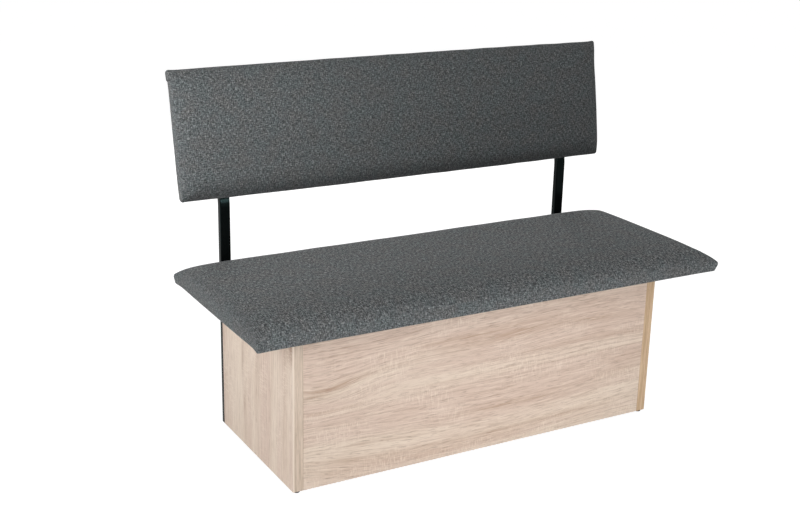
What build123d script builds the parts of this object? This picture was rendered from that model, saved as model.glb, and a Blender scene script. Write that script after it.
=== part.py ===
from build123d import *
import math
import os

# Storage bench: a box of laminated board, a padded seat that is its lid, and a padded backrest
# on two bent steel tubes. Lengths are millimetres and angles degrees. +X runs along the bench,
# +Y to the back, +Z up, and the floor is z = 0.

# Box
box_width = 975.0
box_depth = 395.0
side_height = 377.0
side_board = 25.0
front_board = 18.0
back_board = 16.0
bottom_board = 16.0
edge_band = 1.0
band_rounding = 0.8
batten_side = 20.0

# Floor glides
glide_height = 5.0
glide_radius = 7.5
glide_bevel = 1.0
glide_front_inset = 10.0
glide_rear_inset = 25.0
nail_radius = 1.2
nail_length = 18.0
nail_cover = 1.5

# Panel joints
cam_radius = 7.5
cam_depth = 12.0
cam_setback = 34.0
cam_bolt_radius = 3.0
cam_bolt_grip = 11.0
cam_end_inset = 60.0
dowel_radius = 4.0
dowel_length = 30.0
dowel_end_inset = 130.0
joint_clearance = 0.1
hole_tip = 0.5

# Batten screws
batten_screw_radius = 2.0
batten_screw_length = 32.0
batten_screw_head_radius = 4.0
batten_screw_head_height = 1.8
batten_screw_inset = 60.0

# Uprights
tube_width = 25.0
tube_depth = 15.0
tube_wall = 1.5
tube_corner = 2.0
tube_inner_corner = 1.0
bend_start = 545.0
bend_radius = 90.0
backrest_tilt = 10.5
tube_top_inset = 55.0
cap_plate = 2.0
cap_plug = 10.0
cap_clearance = 0.1

# Screws of the uprights
upright_screw_radius = 2.5
upright_screw_length = 55.0
upright_screw_head_radius = 5.0
upright_screw_head_height = 2.4
upright_screw_inset = 55.0

# Upholstery
cover_thickness = 1.0
cover_gap = 0.3
cover_hem = 45.0
dust_sheet = 0.6
dust_sheet_inset = 22.0
pad_board = 12.0
side_bulge = 1.5
corner_rounding = 6.0

# Seat
seat_end_overhang = 112.0
seat_front_overhang = 87.5
seat_corner_thickness = 18.0
seat_edge_thickness = 23.0
seat_crown_rise = 29.0
seat_shoulder_rise = 22.0
seat_shoulder_width = 38.0
seat_side_pull = 3.0
lid_pad_thickness = 2.0
lid_pad_radius = 6.0
lid_pad_inset = 60.0

# Backrest
backrest_end_overhang = 97.0
backrest_width = 297.0
backrest_start = 3.5
backrest_corner_thickness = 18.0
backrest_edge_thickness = 20.0
backrest_crown_rise = 18.0
backrest_shoulder_rise = 12.0
backrest_shoulder_width = 34.0
backrest_side_pull = 2.5

# Backrest bolts
bolt_radius = 3.0
bolt_head_radius = 6.0
bolt_head_height = 3.3
bolt_tip_inset = 1.5
bolt_inset = 60.0
tee_flange_radius = 9.0
tee_flange = 1.2
tee_barrel_radius = 4.2
tee_barrel_length = 9.0
thread_clearance = 0.05
tube_hole_clearance = 0.3

# Hinges
hinge_end_inset = 142.5
hinge_width = 60.0
leaf_thickness = 1.5
pin_radius = 1.5
pin_clearance = 0.05
pin_overhang = 0.6
knuckle_gap = 0.4
swing_clearance = 1.0
hinge_rise = 27.0
fixed_leaf_drop = 34.0
lid_leaf_reach = 48.0
seat_hinge_gap = 0.4
hinge_screw_radius = 1.75
hinge_screw_head_radius = 3.4
hinge_screw_head_height = 1.5
hinge_screw_grip = 11.0
hinge_screw_inset = 8.0
lid_opening = 60.0

# Cushion stations: shares of the shoulder width from the end, of the rise and of the side pull
station_distance_shares = (0.0, 0.12, 0.38, 0.75, 1.3, 2.2, 3.6)
station_lift_shares = (0.03, 0.3, 0.6, 0.78, 0.88, 0.96, 1.0)
station_edge_shares = (0.0, 0.1, 0.3, 0.5, 0.7, 0.88, 1.0)
station_pull_shares = (0.0, 0.04, 0.12, 0.24, 0.42, 0.7, 1.0)
shoulder_bulge_share = 0.12

# Derived places, before the origin is moved to the middle of the footprint
box_bottom = glide_height
box_top = box_bottom + side_height
inner_half = box_width / 2 - side_board
seat_bottom = box_top + lid_pad_thickness + dust_sheet
seat_length = box_width + 2 * seat_end_overhang
backrest_length = box_width + 2 * backrest_end_overhang
knuckle_radius = pin_radius + pin_clearance + leaf_thickness
hinge_y = box_depth + leaf_thickness - knuckle_radius
hinge_z = seat_bottom + hinge_rise
hinge_offset = inner_half - hinge_end_inset
seat_rear = hinge_y - knuckle_radius - seat_hinge_gap
seat_width = seat_rear + seat_front_overhang
tube_x = box_width / 2 - tube_width / 2
bottom_underside = box_bottom + batten_side
bottom_top = bottom_underside + bottom_board
tilt = math.radians(backrest_tilt)
bend_z = box_bottom + bend_start

ON_BASE = (Align.CENTER, Align.CENTER, Align.MIN)


def block(x_span, y_span, z_span):
    """A square-edged block between two corners, given as three spans."""
    size = [high - low for low, high in (x_span, y_span, z_span)]
    middle = [(high + low) / 2 for low, high in (x_span, y_span, z_span)]
    return Pos(*middle) * Box(*size)


def rod(start, direction, radius, length):
    """A round rod from a start point along a direction."""
    return Plane(origin=start, z_dir=direction) * Cylinder(radius, length, align=ON_BASE)


def pan_head(start, direction, radius, height):
    """A screw head that narrows away from the surface it sits on."""
    cone = Cone(radius, radius * 0.7, height, align=ON_BASE)
    return Plane(origin=start, z_dir=direction) * cone


def screw(start, direction, shank_radius, length, head_radius, head_height):
    """A screw whose head sits on the surface at start, and whose shank runs along direction."""
    back = tuple(-part for part in direction)
    head = pan_head(start, back, head_radius, head_height)
    return head + rod(start, direction, shank_radius, length)


def cut_all(body, tools):
    """Cut each tool out of a body."""
    for tool in tools:
        body = body - tool
    return body


# Uprights

def tilted_point(along, forward):
    """A point beside the tilted run of the uprights: along it from the bend, forward of its face."""
    face_radius = bend_radius + tube_depth / 2
    face_y = box_depth + face_radius * (1 - math.cos(tilt))
    face_z = bend_z + face_radius * math.sin(tilt)
    y = face_y + along * math.sin(tilt) - forward * math.cos(tilt)
    z = face_z + along * math.cos(tilt) + forward * math.sin(tilt)
    return y, z


def tilted_plane(x, along, forward):
    """A plane on the tilted run whose normal points forward, out of the upright's face."""
    y, z = tilted_point(along, forward)
    return Plane(origin=(x, y, z), x_dir=(1, 0, 0), z_dir=(0, -math.cos(tilt), math.sin(tilt)))


upright_run = backrest_start + backrest_width - tube_top_inset - cap_plate
bend_step = bend_radius * math.tan(tilt / 2)


def upright_path(x):
    """The centre line of an upright: straight, one bend, straight."""
    y = box_depth + tube_depth / 2
    corner = (x, y, bend_z + bend_step)
    top_y, top_z = tilted_point(upright_run, -tube_depth / 2)
    points = ((x, y, box_bottom + cap_plate), corner, (x, top_y, top_z))
    return FilletPolyline(*points, radius=bend_radius)


def upright_bar(x, narrower):
    """A solid bar along the upright's centre line, narrower than the tube on each side."""
    start = Plane(origin=(x, box_depth + tube_depth / 2, box_bottom + cap_plate), z_dir=(0, 0, 1))
    corner = tube_inner_corner if narrower else tube_corner
    section = RectangleRounded(tube_width - 2 * narrower, tube_depth - 2 * narrower, corner)
    return sweep(start * section, path=upright_path(x))


def upright_screw_heights():
    """Where the upright's three screws go into the side panel."""
    low = box_bottom + upright_screw_inset
    high = box_top - upright_screw_inset
    return (low, (low + high) / 2, high)


def bolt_runs():
    """Where the two backrest bolts of an upright lie along its tilted run."""
    return (backrest_start + bolt_inset, backrest_start + backrest_width - tube_top_inset - bolt_inset)


def upright(x):
    """A bent rectangular tube with its screw and bolt holes."""
    tube = upright_bar(x, 0) - upright_bar(x, tube_wall)
    reach = tube_depth + 2 * tube_wall
    holes = []
    for z in upright_screw_heights():
        start = (x, box_depth - tube_wall, z)
        holes.append(rod(start, (0, 1, 0), upright_screw_radius + tube_hole_clearance, reach))
    for along in bolt_runs():
        plane = tilted_plane(x, along, -tube_depth - tube_wall)
        holes.append(plane * Cylinder(bolt_radius + tube_hole_clearance, reach, align=ON_BASE))
    return cut_all(tube, holes)


def end_cap(plane):
    """A plastic cap: a plate over the tube's end and a plug inside it, which points along the plane."""
    plate = RectangleRounded(tube_width, tube_depth, tube_corner)
    plug_width = tube_width - 2 * tube_wall - 2 * cap_clearance
    plug_depth = tube_depth - 2 * tube_wall - 2 * cap_clearance
    plug = RectangleRounded(plug_width, plug_depth, tube_inner_corner)
    return plane * (extrude(plate, amount=-cap_plate) + extrude(plug, amount=cap_plug))


def end_caps():
    """The caps at the foot and the top of both uprights."""
    caps = []
    for x in (-tube_x, tube_x):
        middle_y = box_depth + tube_depth / 2
        foot = Plane(origin=(x, middle_y, box_bottom + cap_plate), z_dir=(0, 0, 1))
        top_y, top_z = tilted_point(upright_run, -tube_depth / 2)
        down = (0, -math.sin(tilt), -math.cos(tilt))
        top = Plane(origin=(x, top_y, top_z), x_dir=(1, 0, 0), z_dir=down)
        caps += [end_cap(foot), end_cap(top)]
    return caps


def upright_screws():
    """Long screws through both walls of each upright into the side panel's rear edge."""
    screws = []
    for x in (-tube_x, tube_x):
        for z in upright_screw_heights():
            start = (x, box_depth + tube_depth, z)
            screws.append(screw(start, (0, -1, 0), upright_screw_radius, upright_screw_length,
                                upright_screw_head_radius, upright_screw_head_height))
    return screws


# Box

def joint_heights(inset):
    """The two heights, above the foot of the box, of a pair of fittings in a panel joint."""
    return (box_bottom + inset, box_top - inset)


def joint_rows():
    """The y of the fittings of the front joint and of the back joint."""
    return (front_board / 2, box_depth - back_board / 2)


def cam_bolt(side, y, z, clearance):
    """A cam bolt from the side panel to the cam's edge, or its hole when given a clearance."""
    start = (side * (inner_half + cam_bolt_grip + clearance), y, z)
    length = cam_bolt_grip + cam_setback - cam_radius + clearance
    return rod(start, (-side, 0, 0), cam_bolt_radius + clearance, length)


def dowel(side, y, z, clearance):
    """A wooden dowel half in the side panel, or its hole when given a clearance."""
    start = (side * (inner_half + dowel_length / 2 + clearance), y, z)
    return rod(start, (-side, 0, 0), dowel_radius + clearance, dowel_length + 2 * clearance)


def cam(side, y_face, inward, z, clearance):
    """A cam lock set flush in a panel's inner face, or its pocket when given a clearance."""
    start = (side * (inner_half - cam_setback), y_face, z)
    return rod(start, (0, inward, 0), cam_radius + clearance, cam_depth + clearance)


def all_cam_bolts(sides, rows, clearance):
    """Cam bolts, or their holes, in the chosen sides and joint rows."""
    return [cam_bolt(side, y, z, clearance)
            for side in sides for y in rows for z in joint_heights(cam_end_inset)]


def all_dowels(sides, rows, clearance):
    """Dowels, or their holes, in the chosen sides and joint rows."""
    return [dowel(side, y, z, clearance)
            for side in sides for y in rows for z in joint_heights(dowel_end_inset)]


def all_cams(rows, clearance):
    """Cam locks, or their pockets, in the chosen panels: 0 is the front and 1 the back."""
    faces = ((front_board, -1), (box_depth - back_board, 1))
    return [cam(side, faces[row][0], faces[row][1], z, clearance)
            for side in (-1, 1) for row in rows for z in joint_heights(cam_end_inset)]


def glide_places(side):
    """The middles of the two glides under a side panel."""
    x = side * (box_width / 2 - side_board / 2)
    return ((x, glide_front_inset), (x, box_depth - glide_rear_inset))


def glide_nail(x, y, clearance):
    """A nail from inside the glide up into the side panel."""
    return rod((x, y, nail_cover), (0, 0, 1), nail_radius + clearance, nail_length + clearance)


def floor_glides():
    """Plastic glides with a bevelled rim, hollow for their nails."""
    glides = []
    for side in (-1, 1):
        for x, y in glide_places(side):
            disc = Pos(x, y, 0) * Cylinder(glide_radius, glide_height, align=ON_BASE)
            rim = disc.edges().group_by(Axis.Z)[0]
            disc = chamfer(rim, glide_bevel)
            glides.append(disc - glide_nail(x, y, joint_clearance))
    return glides


def batten_screw_places():
    """Along the depth, where the screws of a batten are."""
    low = front_board + batten_screw_inset
    high = box_depth - back_board - batten_screw_inset
    return (low, (low + high) / 2, high)


def batten_screw(side, y, clearance):
    """A screw through a batten into the side panel, or its hole when given a clearance."""
    start = (side * (inner_half - batten_side), y, box_bottom + batten_side / 2)
    if clearance:
        return rod(start, (side, 0, 0), batten_screw_radius + clearance, batten_screw_length + clearance)
    return screw(start, (side, 0, 0), batten_screw_radius, batten_screw_length,
                 batten_screw_head_radius, batten_screw_head_height)


def side_panel(side):
    """A side panel behind its front edge band, with the holes of everything fixed to it."""
    outer = side * box_width / 2
    inner = side * inner_half
    panel = block(sorted((outer, inner)), (edge_band, box_depth), (box_bottom, box_top))
    holes = all_cam_bolts((side,), joint_rows(), joint_clearance)
    holes += all_dowels((side,), joint_rows(), joint_clearance)
    holes += [batten_screw(side, y, joint_clearance) for y in batten_screw_places()]
    holes += [glide_nail(x, y, joint_clearance) for x, y in glide_places(side)]
    for z in upright_screw_heights():
        start = (side * tube_x, box_depth + joint_clearance, z)
        depth = upright_screw_length - tube_depth + hole_tip
        holes.append(rod(start, (0, -1, 0), upright_screw_radius + joint_clearance, depth))
    return cut_all(panel, holes)


def front_edge_band(side):
    """The band on a side panel's front edge, rounded on its two long outer edges."""
    x_span = sorted((side * box_width / 2, side * inner_half))
    band = block(x_span, (0, edge_band), (box_bottom, box_top))
    long_edges = band.edges().filter_by(Axis.Z).group_by(Axis.Y)[0]
    return fillet(long_edges, band_rounding)


def cross_panel(row, y_span):
    """The front (0) or back (1) panel between the sides, with its pockets and holes."""
    panel = block((-inner_half, inner_half), y_span, (box_bottom, box_top))
    rows = (joint_rows()[row],)
    tools = all_cams((row,), joint_clearance)
    tools += all_cam_bolts((-1, 1), rows, joint_clearance)
    tools += all_dowels((-1, 1), rows, joint_clearance)
    return cut_all(panel, tools)


def back_panel():
    """The back panel with the pilot holes of the hinges' fixed leaves."""
    panel = cross_panel(1, (box_depth - back_board, box_depth))
    pilots = [rod((x, box_depth, z), (0, -1, 0), hinge_screw_radius + joint_clearance,
                  hinge_screw_grip + hole_tip) for x, z in fixed_leaf_screws()]
    return cut_all(panel, pilots)


def batten(side):
    """A wooden batten along the foot of a side panel, which carries the bottom panel."""
    x_span = sorted((side * inner_half, side * (inner_half - batten_side)))
    y_span = (front_board, box_depth - back_board)
    body = block(x_span, y_span, (box_bottom, bottom_underside))
    return cut_all(body, [batten_screw(side, y, joint_clearance) for y in batten_screw_places()])


def lid_pads():
    """Round pads on the rim of the box, on which the closed seat lies."""
    side_x = inner_half + side_board / 2
    places = [(side * side_x, y) for side in (-1, 1) for y in (lid_pad_inset, box_depth - lid_pad_inset)]
    places += [(side * box_width / 4, front_board / 2) for side in (-1, 1)]
    return [Pos(x, y, box_top) * Cylinder(lid_pad_radius, lid_pad_thickness, align=ON_BASE)
            for x, y in places]


# Upholstery, in the pad's own frame: X along it, Y across it, Z from its board side outwards

def pad_section(x, front, rear, floor, edge, shoulder, crown, reach, narrower):
    """One closed outline of a cushion across its width, at a station along its length."""
    middle = (front + rear) / 2
    side_top = floor + (edge - floor) / 2
    chord_y = reach / 2 - (shoulder - edge) * shoulder_bulge_share
    chord_z = (edge + shoulder) / 2 + reach * shoulder_bulge_share
    low_front = (x, front + side_bulge, floor)
    low_rear = (x, rear - side_bulge, floor)
    edge_front = (x, front + side_bulge, edge)
    edge_rear = (x, rear - side_bulge, edge)
    shoulder_front = (x, front + reach, shoulder)
    shoulder_rear = (x, rear - reach, shoulder)
    return Wire([
        Edge.make_line(low_rear, low_front),
        Edge.make_three_point_arc(low_front, (x, front, side_top), edge_front),
        Edge.make_three_point_arc(edge_front, (x, front + chord_y, chord_z), shoulder_front),
        Edge.make_three_point_arc(shoulder_front, (x, middle, crown), shoulder_rear),
        Edge.make_three_point_arc(shoulder_rear, (x, rear - chord_y, chord_z), edge_rear),
        Edge.make_three_point_arc(edge_rear, (x, rear, side_top), low_rear),
    ])


def pad_form(size, inset):
    """The whole cushion, crowned and with drawn-in sides, smaller by an inset all round."""
    half = size["length"] / 2
    near = []
    shares = zip(station_distance_shares, station_lift_shares, station_edge_shares, station_pull_shares)
    for distance, lift, edge_share, pull in shares:
        edge = size["corner"] + (size["edge"] - size["corner"]) * edge_share
        near.append((half - distance * size["shoulder_width"], edge, lift, pull * size["pull"]))
    stations = near + [(0.0,) + near[-1][1:]] + [(-x, e, r, p) for x, e, r, p in reversed(near)]
    wires = []
    for x, edge, lift, pull in stations:
        squeeze = (half - inset) / half
        wires.append(pad_section(
            x * squeeze, pull + inset, size["width"] - pull - inset, inset, edge - inset,
            edge + lift * size["shoulder_rise"] - inset, edge + lift * size["crown_rise"] - inset,
            size["shoulder_width"], inset))
    return Solid.make_loft(wires, ruled=True)


def pad_window(size):
    """The space inside the hem of the cover, on the pad's board side."""
    half = size["length"] / 2 - cover_hem
    return block((-half, half), (cover_hem, size["width"] - cover_hem), (-cover_thickness, cover_thickness))


def pad_cover(size):
    """The fabric cover: a thin shell round foam and board with a hem on the board side."""
    return pad_form(size, 0) - pad_form(size, cover_thickness) - pad_window(size)


def pad_board_inset(size):
    """How far the board's edge lies inside the cushion's outline."""
    return size["pull"] + side_bulge + cover_thickness + cover_gap


def pad_board_solid(size):
    """The plywood board with rounded corners."""
    inset = pad_board_inset(size)
    outline = RectangleRounded(size["length"] - 2 * inset, size["width"] - 2 * inset, corner_rounding)
    return Pos(0, size["width"] / 2, cover_thickness) * extrude(outline, amount=pad_board)


def pad_foam(size):
    """The foam on top of the board, just inside the cover."""
    low = cover_thickness + pad_board
    half = size["length"] / 2
    high = size["edge"] + size["crown_rise"]
    above = block((-half, half), (0, size["width"]), (low, low + high))
    return pad_form(size, cover_thickness + cover_gap) & above


def pad_dust_sheet(size):
    """The thin cloth sheet that closes the pad's board side."""
    half = size["length"] / 2 - dust_sheet_inset
    return block((-half, half), (dust_sheet_inset, size["width"] - dust_sheet_inset), (-dust_sheet, 0))


seat_size = {
    "length": seat_length, "width": seat_width, "corner": seat_corner_thickness,
    "edge": seat_edge_thickness, "crown_rise": seat_crown_rise, "shoulder_rise": seat_shoulder_rise,
    "shoulder_width": seat_shoulder_width, "pull": seat_side_pull}
backrest_size = {
    "length": backrest_length, "width": backrest_width, "corner": backrest_corner_thickness,
    "edge": backrest_edge_thickness, "crown_rise": backrest_crown_rise,
    "shoulder_rise": backrest_shoulder_rise, "shoulder_width": backrest_shoulder_width,
    "pull": backrest_side_pull}
seat_plane = Plane(origin=(0, -seat_front_overhang, seat_bottom), x_dir=(1, 0, 0), z_dir=(0, 0, 1))
backrest_plane = tilted_plane(0, backrest_start, dust_sheet)


# Backrest fastening

def bolt_plane(x, along):
    """The plane of a backrest bolt: on the upright's rear face, pointing forward."""
    return tilted_plane(x, along, -tube_depth)


def bolt_places():
    """The four backrest bolts, as a place along the bench and one along the upright."""
    return [(x, along) for x in (-tube_x, tube_x) for along in bolt_runs()]


board_face = dust_sheet + cover_thickness + pad_board


def backrest_bolts():
    """Machine screws through the uprights into the tee nuts."""
    length = tube_depth + board_face - bolt_tip_inset
    bolts = []
    for x, along in bolt_places():
        shank = Cylinder(bolt_radius, length, align=ON_BASE)
        head = Rot(180, 0, 0) * Cone(bolt_head_radius, bolt_head_radius * 0.7, bolt_head_height, align=ON_BASE)
        bolts.append(bolt_plane(x, along) * (shank + head))
    return bolts


def tee_nut_envelope(x, along, clearance):
    """The outside of a tee nut, flush with the board's foam side."""
    barrel = Cylinder(tee_barrel_radius + clearance, tee_barrel_length, align=ON_BASE)
    flange = Cylinder(tee_flange_radius + clearance, tee_flange + clearance, align=ON_BASE)
    turn = Rot(180, 0, 0)
    return tilted_plane(x, along, board_face) * (turn * barrel + turn * flange)


def bolt_hole(x, along, radius):
    """A round hole through the backrest's board, hem and sheet on a bolt's axis."""
    plane = tilted_plane(x, along, -joint_clearance)
    return plane * Cylinder(radius, board_face + 2 * joint_clearance, align=ON_BASE)


def tee_nuts():
    """Tee nuts in the backrest board."""
    return [tee_nut_envelope(x, along, 0) - bolt_hole(x, along, bolt_radius + thread_clearance)
            for x, along in bolt_places()]


def drilled_backrest(solid, nuts):
    """A backrest layer with its bolt holes, and with tee nut pockets where it is the board."""
    tools = [bolt_hole(x, along, bolt_radius + tube_hole_clearance) for x, along in bolt_places()]
    if nuts:
        tools += [tee_nut_envelope(x, along, joint_clearance) for x, along in bolt_places()]
    return cut_all(solid, tools)


# Hinges

def hinge_middles():
    """Where the two hinges are along the bench."""
    return (-hinge_offset, hinge_offset)


def knuckle(x_span, clearance):
    """A knuckle round the pin between two places along the bench."""
    length = x_span[1] - x_span[0]
    start = (x_span[0], hinge_y, hinge_z)
    return rod(start, (1, 0, 0), knuckle_radius + clearance, length)


def pin_hole(x):
    """The bore of a hinge's knuckles."""
    start = (x - hinge_width / 2, hinge_y, hinge_z)
    return rod(start, (1, 0, 0), pin_radius + pin_clearance, hinge_width)


def knuckle_spans(x):
    """The spans of a hinge's three knuckles; the outer two are the fixed leaf's."""
    third = hinge_width / 3
    low = x - hinge_width / 2
    return ((low, low + third - knuckle_gap), (low + third, low + 2 * third),
            (low + 2 * third + knuckle_gap, low + 3 * third))


def fixed_leaf_screws():
    """Places (x, z) of the screws of the fixed leaves."""
    low = box_top - fixed_leaf_drop + hinge_screw_inset
    high = box_top - hinge_screw_inset
    side = hinge_width / 2 - hinge_screw_inset
    return [(x + dx, z) for x in hinge_middles() for dx, z in ((-side, high), (side, high), (0, low))]


def lid_leaf_screws():
    """Places (x, y) of the screws of the lid leaves."""
    front = hinge_y - lid_leaf_reach + hinge_screw_inset
    rear = box_depth - back_board - hinge_screw_inset
    side = hinge_width / 2 - hinge_screw_inset
    return [(x + dx, y) for x in hinge_middles() for dx, y in ((-side, front), (side, front), (0, rear))]


def fixed_leaf(x):
    """A flat leaf on the back panel's rear face that rises to two knuckles behind the seat."""
    leaf_y = (box_depth, box_depth + leaf_thickness)
    left, middle, right = knuckle_spans(x)
    plate_top = hinge_z - knuckle_radius - swing_clearance
    leaf = block((left[0], right[1]), leaf_y, (box_top - fixed_leaf_drop, plate_top))
    for span in (left, right):
        leaf = leaf + block(span, leaf_y, (plate_top, hinge_z)) + knuckle(span, 0)
    leaf = leaf - pin_hole(x)
    tools = [rod((sx, box_depth + leaf_thickness, sz), (0, -1, 0), hinge_screw_radius + joint_clearance,
                 leaf_thickness) for sx, sz in fixed_leaf_screws() if abs(sx - x) < hinge_width]
    return cut_all(leaf, tools)


def lid_leaf(x):
    """A cranked leaf: down behind the seat's rear edge, then forward under the seat."""
    left, middle, right = knuckle_spans(x)
    drop_y = (hinge_y - knuckle_radius, hinge_y - knuckle_radius + leaf_thickness)
    foot_top = box_top + lid_pad_thickness
    foot_bottom = foot_top - leaf_thickness
    plate_top = hinge_z - knuckle_radius - swing_clearance
    drop = block((left[0], right[1]), drop_y, (foot_bottom, plate_top))
    neck = block(middle, drop_y, (plate_top, hinge_z))
    foot = block((left[0], right[1]), (drop_y[1] - lid_leaf_reach, drop_y[1]), (foot_bottom, foot_top))
    leaf = drop + neck + foot + knuckle(middle, 0) - pin_hole(x)
    tools = [rod((sx, sy, foot_bottom), (0, 0, 1), hinge_screw_radius + joint_clearance, leaf_thickness)
             for sx, sy in lid_leaf_screws() if abs(sx - x) < hinge_width]
    return cut_all(leaf, tools)


def hinge_pin(x):
    """A pin that stands a little out of the knuckles at both ends."""
    start = (x - hinge_width / 2 - pin_overhang, hinge_y, hinge_z)
    return rod(start, (1, 0, 0), pin_radius, hinge_width + 2 * pin_overhang)


def fixed_leaf_screw_solids():
    """Screws of the fixed leaves, in the back panel."""
    return [screw((x, box_depth + leaf_thickness, z), (0, -1, 0), hinge_screw_radius,
                  leaf_thickness + hinge_screw_grip, hinge_screw_head_radius, hinge_screw_head_height)
            for x, z in fixed_leaf_screws()]


def lid_leaf_screw_solids():
    """Screws of the lid leaves, up into the seat board."""
    foot_bottom = box_top + lid_pad_thickness - leaf_thickness
    return [screw((x, y, foot_bottom), (0, 0, 1), hinge_screw_radius,
                  leaf_thickness + hinge_screw_grip, hinge_screw_head_radius, hinge_screw_head_height)
            for x, y in lid_leaf_screws()]


def drilled_seat(solid):
    """A seat layer with the pilot holes of the lid leaves' screws."""
    start_z = box_top + lid_pad_thickness - joint_clearance
    depth = hinge_screw_grip + joint_clearance + hole_tip
    return cut_all(solid, [rod((x, y, start_z), (0, 0, 1), hinge_screw_radius + joint_clearance, depth)
                           for x, y in lid_leaf_screws()])


def build_nodes():
    """Every node by name, as a list of solids."""
    seat_board = drilled_seat(seat_plane * pad_board_solid(seat_size))
    backrest_board = drilled_backrest(backrest_plane * pad_board_solid(backrest_size), True)
    nodes = {
        "left_side_panel": [side_panel(-1)],
        "right_side_panel": [side_panel(1)],
        "left_front_edge_band": [front_edge_band(-1)],
        "right_front_edge_band": [front_edge_band(1)],
        "front_panel": [cross_panel(0, (0, front_board))],
        "back_panel": [back_panel()],
        "bottom_panel": [block((-inner_half, inner_half), (front_board, box_depth - back_board),
                               (bottom_underside, bottom_top))],
        "left_bottom_batten": [batten(-1)],
        "right_bottom_batten": [batten(1)],
        "batten_screws": [batten_screw(side, y, 0) for side in (-1, 1) for y in batten_screw_places()],
        "cam_locks": all_cams((0, 1), 0),
        "cam_bolts": all_cam_bolts((-1, 1), joint_rows(), 0),
        "panel_dowels": all_dowels((-1, 1), joint_rows(), 0),
        "floor_glides": floor_glides(),
        "glide_nails": [glide_nail(x, y, 0) for side in (-1, 1) for x, y in glide_places(side)],
        "lid_pads": lid_pads(),
        "left_upright": [upright(-tube_x)],
        "right_upright": [upright(tube_x)],
        "upright_end_caps": end_caps(),
        "upright_screws": upright_screws(),
        "backrest_board": [backrest_board],
        "backrest_foam": [backrest_plane * pad_foam(backrest_size)],
        "backrest_cover": [drilled_backrest(backrest_plane * pad_cover(backrest_size), False)],
        "backrest_dust_sheet": [drilled_backrest(backrest_plane * pad_dust_sheet(backrest_size), False)],
        "backrest_bolts": backrest_bolts(),
        "backrest_tee_nuts": tee_nuts(),
        "left_hinge_fixed_leaf": [fixed_leaf(-hinge_offset)],
        "right_hinge_fixed_leaf": [fixed_leaf(hinge_offset)],
        "left_hinge_pin": [hinge_pin(-hinge_offset)],
        "right_hinge_pin": [hinge_pin(hinge_offset)],
        "fixed_leaf_screws": fixed_leaf_screw_solids(),
        "seat_board": [seat_board],
        "seat_foam": [seat_plane * pad_foam(seat_size)],
        "seat_cover": [drilled_seat(seat_plane * pad_cover(seat_size))],
        "seat_dust_sheet": [drilled_seat(seat_plane * pad_dust_sheet(seat_size))],
        "left_hinge_lid_leaf": [lid_leaf(-hinge_offset)],
        "right_hinge_lid_leaf": [lid_leaf(hinge_offset)],
        "lid_leaf_screws": lid_leaf_screw_solids(),
    }
    return nodes


def main():
    """Move the origin to the middle of the footprint and write one file per node."""
    nodes = build_nodes()
    boxes = [solid.bounding_box() for solids in nodes.values() for solid in solids]
    front = min(box.min.Y for box in boxes)
    rear = max(box.max.Y for box in boxes)
    shift = -(front + rear) / 2
    os.makedirs("parts", exist_ok=True)
    for name, solids in nodes.items():
        moved = [Pos(0, shift, 0) * solid for solid in solids]
        shape = moved[0] if len(moved) == 1 else Compound(children=moved)
        export_step(shape, f"parts/{name}.step")
    print("shift", round(shift, 4), "depth", round(rear - front, 3))
    print("lid axis", round(hinge_y + shift, 4), round(hinge_z, 4), "opens", lid_opening)
    print("box front", round(shift, 4), "box rear", round(box_depth + shift, 4))
    print("cavity", round(inner_half, 3), round(front_board + shift, 3),
          round(box_depth - back_board + shift, 3), round(bottom_top, 3), round(box_top, 3))


main()
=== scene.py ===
"""Looks of the storage bench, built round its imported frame. Lengths are metres."""

import math

import bpy
import numpy as np
from mathutils import Matrix, Vector
from mathutils.kdtree import KDTree


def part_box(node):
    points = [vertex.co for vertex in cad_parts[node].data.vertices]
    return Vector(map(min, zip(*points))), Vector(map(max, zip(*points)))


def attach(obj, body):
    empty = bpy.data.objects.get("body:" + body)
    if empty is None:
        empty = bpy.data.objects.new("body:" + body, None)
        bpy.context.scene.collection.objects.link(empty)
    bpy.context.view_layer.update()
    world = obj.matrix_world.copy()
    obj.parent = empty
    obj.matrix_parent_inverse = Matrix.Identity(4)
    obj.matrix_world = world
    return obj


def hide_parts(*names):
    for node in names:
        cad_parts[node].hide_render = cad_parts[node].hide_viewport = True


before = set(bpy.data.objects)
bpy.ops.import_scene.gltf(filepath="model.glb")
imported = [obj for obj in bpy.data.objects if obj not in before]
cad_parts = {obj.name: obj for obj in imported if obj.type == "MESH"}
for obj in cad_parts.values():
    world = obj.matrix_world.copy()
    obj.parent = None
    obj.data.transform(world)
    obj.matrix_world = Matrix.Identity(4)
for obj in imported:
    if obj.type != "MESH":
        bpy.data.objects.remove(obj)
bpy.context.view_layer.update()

MM = 0.001


def linear(red, green, blue):
    """A colour's linear values from its ordinary 0 to 255 levels."""
    levels = (level / 255 for level in (red, green, blue))
    return tuple(v / 12.92 if v <= 0.04045 else ((v + 0.055) / 1.055) ** 2.4 for v in levels)


# Camera, fitted to the photograph
PICTURE_WIDTH = 800
FOCAL_PIXELS = 1305.6
CAMERA_PLACE = Vector((-1.55413, -2.50448, 1.38070))
CAMERA_YAW = math.radians(29.663)
CAMERA_PITCH = math.radians(18.420)
CAMERA_ROLL = math.radians(1.352)
SENSOR_WIDTH = 36.0

# The bench
BACKREST_TILT = math.radians(10.5)
UPRIGHT_PLACE = 0.475
BOX_HALF_WIDTH = -float(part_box("left_side_panel")[0][0])
FRONT_FACE = float(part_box("front_panel")[0][1])
BANDING_WIDTH = 25.0 * MM

# Share of the banding's width that its painted highlight, a pale line along the outer corner, takes
HIGHLIGHT_CORNER = 0.15

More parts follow.
